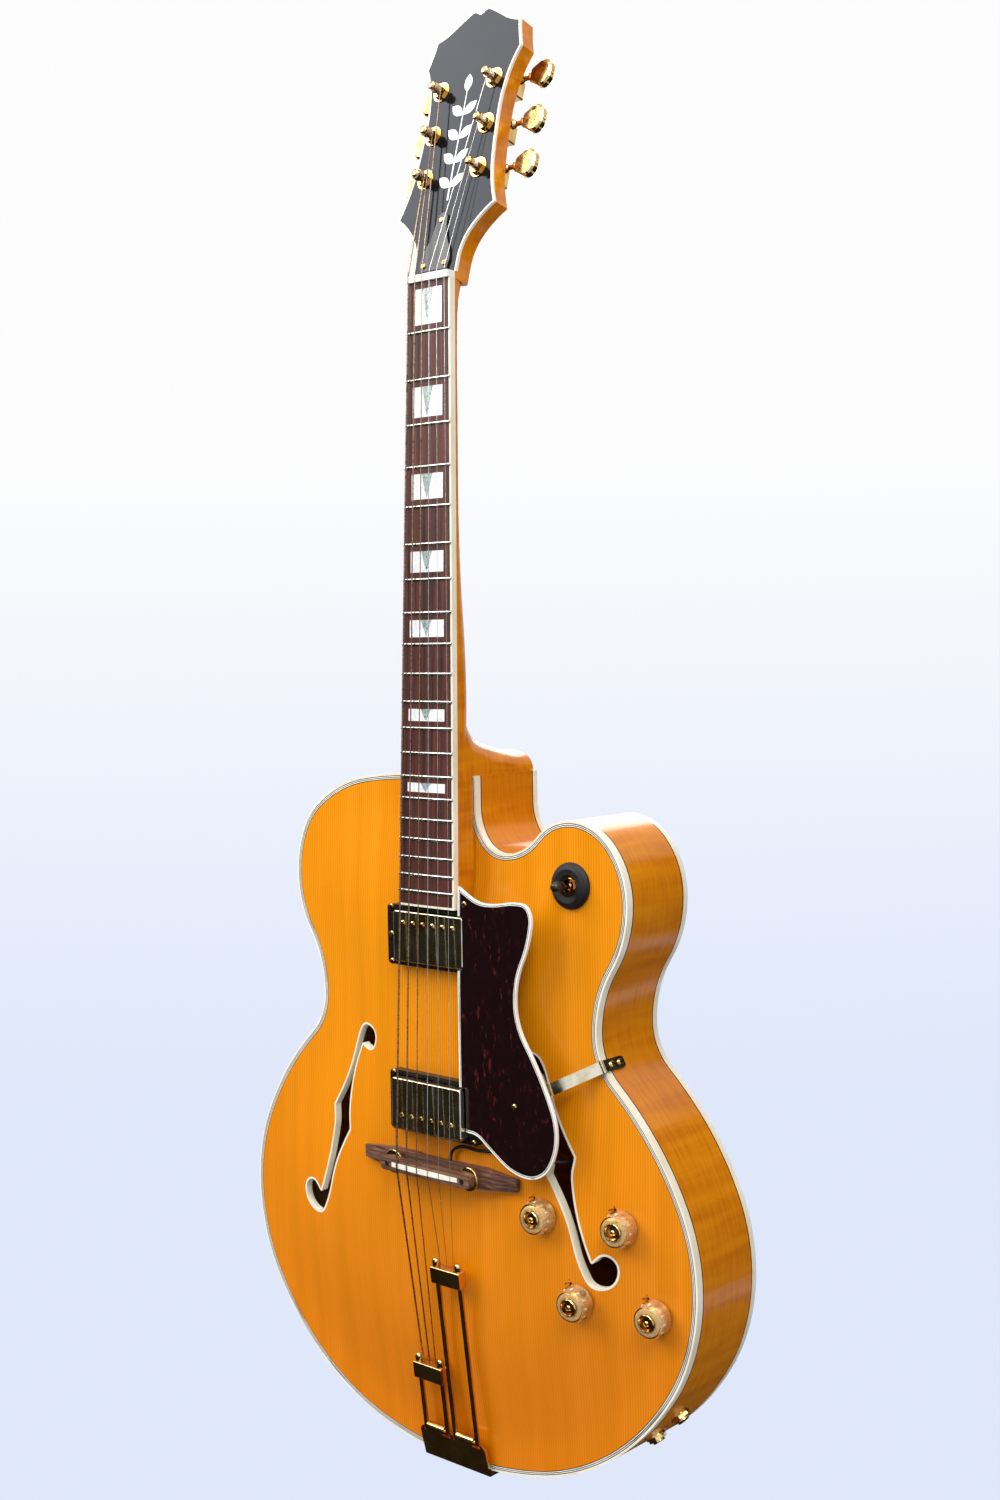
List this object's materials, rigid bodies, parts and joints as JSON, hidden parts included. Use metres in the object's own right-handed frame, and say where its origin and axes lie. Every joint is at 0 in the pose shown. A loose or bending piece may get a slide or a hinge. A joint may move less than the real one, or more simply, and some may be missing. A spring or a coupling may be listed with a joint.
{
  "type": "archtop guitar",
  "caption": "Hollow-body archtop electric guitar with one cutaway, two pickups, floating bridge and split tailpiece.",
  "frame": {"origin": "where the strap button meets the tail of the rim, at half the rim's depth", "axes": "+Z from the tail to the headstock, +X to the treble side, -Y out of the front"},
  "size_m": [0.444, 0.1185, 1.1007],
  "materials": {
    "spruce": "gloss",
    "maple": "gloss",
    "inner_wood": "matte",
    "cream_binding": "gloss",
    "purfling": "gloss",
    "rosewood": "satin",
    "steel": "polished",
    "pearl": "gloss",
    "abalone": "gloss",
    "bone": "satin",
    "black_veneer": "gloss",
    "gold": "polished",
    "black_plastic": "satin",
    "coil": "matte",
    "tortoise": "gloss",
    "guard_edge": "gloss",
    "knob": "gloss",
    "rubber": "matte"
  },
  "bodies": {
    "guitar": {"top_plate": "spruce", "f_hole_bindings": "cream_binding", "back_plate": "maple", "rim_sides": "maple", "end_blocks": "inner_wood", "linings": "inner_wood", "tone_bars": "inner_wood", "body_bindings": "cream_binding", "top_purfling": "purfling", "neck": "maple", "truss_rod": "steel", "headstock_veneer": "black_veneer", "neck_bindings": "cream_binding", "truss_rod_cover": "black_veneer", "fingerboard": "rosewood", "frets": "steel", "pearl_blocks": "pearl", "abalone_wedges": "abalone", "nut": "bone", "tuner_housings": "gold", "strings": "steel", "pickup_rings": "black_plastic", "pickup_covers": "gold", "pickup_coils": "coil", "screws": "gold", "potentiometers": "steel", "switch_ring": "rubber", "switch_body": "gold", "output_jacks": "gold", "bridge_base": "rosewood", "bridge_studs": "gold", "bridge_lead": "rubber", "tailpiece_leaf": "gold", "bass_fork": "gold", "treble_fork": "gold", "strap_button": "gold", "pickguard": "tortoise", "pickguard_binding": "guard_edge", "pickguard_strap": "gold"},
    "tuner_button_1": {"tuner_button_1": "gold"},
    "tuner_post_1": {"tuner_post_1": "gold"},
    "tuner_button_2": {"tuner_button_2": "gold"},
    "tuner_post_2": {"tuner_post_2": "gold"},
    "tuner_button_3": {"tuner_button_3": "gold"},
    "tuner_post_3": {"tuner_post_3": "gold"},
    "tuner_button_4": {"tuner_button_4": "gold"},
    "tuner_post_4": {"tuner_post_4": "gold"},
    "tuner_button_5": {"tuner_button_5": "gold"},
    "tuner_post_5": {"tuner_post_5": "gold"},
    "tuner_button_6": {"tuner_button_6": "gold"},
    "tuner_post_6": {"tuner_post_6": "gold"},
    "neck_volume_knob": {"neck_volume_knob": "knob"},
    "neck_tone_knob": {"neck_tone_knob": "knob"},
    "bridge_volume_knob": {"bridge_volume_knob": "knob"},
    "bridge_tone_knob": {"bridge_tone_knob": "knob"},
    "switch_lever": {"switch_lever": "gold"},
    "bridge_top": {"bridge_top": "rosewood", "bridge_saddle": "bone"},
    "thumbwheel_bass": {"thumbwheel_bass": "gold"},
    "thumbwheel_treble": {"thumbwheel_treble": "gold"}
  },
  "joints": [
    {"name": "tuner_button_1_turn", "type": "hinge", "parent": "guitar", "child": "tuner_button_1", "pos_m": [0.0264, 0.0026, 0.96083], "axis": [1, 0, 0], "continuous": true},
    {"name": "tuner_post_1_turn", "type": "hinge", "parent": "guitar", "child": "tuner_post_1", "pos_m": [0.0264, -0.01828, 0.95961], "axis": [0, -0.9617, 0.274], "continuous": true},
    {"name": "tuner_button_2_turn", "type": "hinge", "parent": "guitar", "child": "tuner_button_2", "pos_m": [0.0264, 0.01205, 0.99401], "axis": [1, 0, 0], "continuous": true},
    {"name": "tuner_post_2_turn", "type": "hinge", "parent": "guitar", "child": "tuner_post_2", "pos_m": [0.0264, -0.00883, 0.99279], "axis": [0, -0.9617, 0.274], "continuous": true},
    {"name": "tuner_button_3_turn", "type": "hinge", "parent": "guitar", "child": "tuner_button_3", "pos_m": [0.0264, 0.02178, 1.02815], "axis": [1, 0, 0], "continuous": true},
    {"name": "tuner_post_3_turn", "type": "hinge", "parent": "guitar", "child": "tuner_post_3", "pos_m": [0.0264, 0.0009, 1.02693], "axis": [0, -0.9617, 0.274], "continuous": true},
    {"name": "tuner_button_4_turn", "type": "hinge", "parent": "guitar", "child": "tuner_button_4", "pos_m": [-0.0264, 0.02178, 1.02815], "axis": [-1, 0, 0], "continuous": true},
    {"name": "tuner_post_4_turn", "type": "hinge", "parent": "guitar", "child": "tuner_post_4", "pos_m": [-0.0264, 0.0009, 1.02693], "axis": [0, -0.9617, 0.274], "continuous": true},
    {"name": "tuner_button_5_turn", "type": "hinge", "parent": "guitar", "child": "tuner_button_5", "pos_m": [-0.0264, 0.01205, 0.99401], "axis": [-1, 0, 0], "continuous": true},
    {"name": "tuner_post_5_turn", "type": "hinge", "parent": "guitar", "child": "tuner_post_5", "pos_m": [-0.0264, -0.00883, 0.99279], "axis": [0, -0.9617, 0.274], "continuous": true},
    {"name": "tuner_button_6_turn", "type": "hinge", "parent": "guitar", "child": "tuner_button_6", "pos_m": [-0.0264, 0.0026, 0.96083], "axis": [-1, 0, 0], "continuous": true},
    {"name": "tuner_post_6_turn", "type": "hinge", "parent": "guitar", "child": "tuner_post_6", "pos_m": [-0.0264, -0.01828, 0.95961], "axis": [0, -0.9617, 0.274], "continuous": true},
    {"name": "neck_volume_knob_turn", "type": "hinge", "parent": "guitar", "child": "neck_volume_knob", "pos_m": [0.097, -0.04777, 0.211], "axis": [0.0834, -0.9961, 0.029], "range_deg": [-150, 150]},
    {"name": "neck_tone_knob_turn", "type": "hinge", "parent": "guitar", "child": "neck_tone_knob", "pos_m": [0.162, -0.03894, 0.2125], "axis": [0.1504, -0.9869, 0.0578], "range_deg": [-150, 150]},
    {"name": "bridge_volume_knob_turn", "type": "hinge", "parent": "guitar", "child": "bridge_volume_knob", "pos_m": [0.127, -0.04476, 0.155], "axis": [0.123, -0.9916, -0.0403], "range_deg": [-150, 150]},
    {"name": "bridge_tone_knob_turn", "type": "hinge", "parent": "guitar", "child": "bridge_tone_knob", "pos_m": [0.1885, -0.03602, 0.1555], "axis": [0.1042, -0.9944, -0.0191], "range_deg": [-150, 150]},
    {"name": "switch_throw", "type": "hinge", "parent": "guitar", "child": "switch_lever", "pos_m": [0.118, -0.03623, 0.4465], "axis": [0.9994, 0.0237, -0.025], "range_deg": [-15, 15]},
    {"name": "bridge_height", "type": "slide", "parent": "guitar", "child": "bridge_top", "axis": [0, -1, 0], "range_m": [-0.00251, 0]},
    {"name": "thumbwheel_bass_turn", "type": "hinge", "parent": "bridge_top", "child": "thumbwheel_bass", "pos_m": [-0.038, -0.059, 0.22898], "axis": [0, -1, 0], "range_deg": [-1200, 0]},
    {"name": "thumbwheel_treble_turn", "type": "hinge", "parent": "bridge_top", "child": "thumbwheel_treble", "pos_m": [0.038, -0.059, 0.22898], "axis": [0, -1, 0], "range_deg": [-1200, 0]}
  ],
  "couplings": [
    {"joint": "tuner_post_1_turn", "follows": "tuner_button_1_turn", "ratio": 0.071429},
    {"joint": "tuner_post_2_turn", "follows": "tuner_button_2_turn", "ratio": 0.071429},
    {"joint": "tuner_post_3_turn", "follows": "tuner_button_3_turn", "ratio": 0.071429},
    {"joint": "tuner_post_4_turn", "follows": "tuner_button_4_turn", "ratio": -0.071429},
    {"joint": "tuner_post_5_turn", "follows": "tuner_button_5_turn", "ratio": -0.071429},
    {"joint": "tuner_post_6_turn", "follows": "tuner_button_6_turn", "ratio": -0.071429},
    {"joint": "bridge_height", "follows": "thumbwheel_bass_turn", "m_per_rad": 0.00011937},
    {"joint": "thumbwheel_treble_turn", "follows": "thumbwheel_bass_turn", "ratio": 1}
  ]
}
